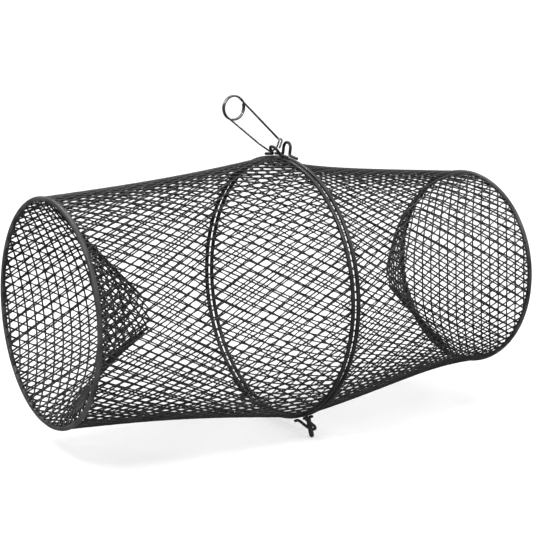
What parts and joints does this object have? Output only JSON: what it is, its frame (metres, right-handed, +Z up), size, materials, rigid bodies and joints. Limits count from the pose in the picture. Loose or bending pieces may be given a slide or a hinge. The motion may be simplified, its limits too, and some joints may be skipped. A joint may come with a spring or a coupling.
{
  "type": "crab trap",
  "caption": "Two-piece tapered wire-mesh crab trap: half-shells hinged below, closed by a spring clip on top, with an inward entry funnel in each end.",
  "frame": {"origin": "centre of the bounding box's base: under the parting plane, level with the tips of the hinge tongues", "axes": "+X along the trap's long axis, +Z up with the clip on top, +Y to the far side"},
  "size_m": [0.4696, 0.2472, 0.311],
  "materials": {
    "vinyl_mesh": "black vinyl dip over steel mesh",
    "vinyl_wire": "black vinyl coating over steel wire",
    "zinc_wire": "bright zinc-plated spring wire"
  },
  "bodies": {
    "left_half": {"mesh_shell_left": "vinyl_mesh", "mouth_hoop_left": "vinyl_wire", "end_rim_left": "vinyl_wire", "entry_funnel_left": "vinyl_mesh", "clip_eye_left": "vinyl_wire", "hinge_loop_near": "vinyl_wire", "hinge_loop_far": "vinyl_wire"},
    "right_half": {"mesh_shell_right": "vinyl_mesh", "mouth_hoop_right": "vinyl_wire", "end_rim_right": "vinyl_wire", "entry_funnel_right": "vinyl_mesh", "clip_eye_right": "vinyl_wire", "hinge_tongue_near": "vinyl_wire", "hinge_tongue_far": "vinyl_wire"},
    "clip_body": {"clip_body": "zinc_wire"},
    "clip_pin": {"clip_pin": "zinc_wire"}
  },
  "joints": [
    {"name": "shell_hinge", "type": "hinge", "parent": "left_half", "child": "right_half", "pos_m": [0.0046, 0, 0.01027], "axis": [0, 1, 0], "range_deg": [0, 90]},
    {"name": "clip_swing", "type": "hinge", "parent": "left_half", "child": "clip_body", "pos_m": [-0.0084, 0.003, 0.26299], "axis": [0, -1, 0], "range_deg": [0, 42]},
    {"name": "clip_pin_press", "type": "hinge", "parent": "clip_body", "child": "clip_pin", "pos_m": [-0.0523, 0.0024, 0.29959], "axis": [0, 1, 0], "range_deg": [0, 6], "stiffness_Nm_per_rad": 0.05, "springref_deg": -20.05}
  ]
}
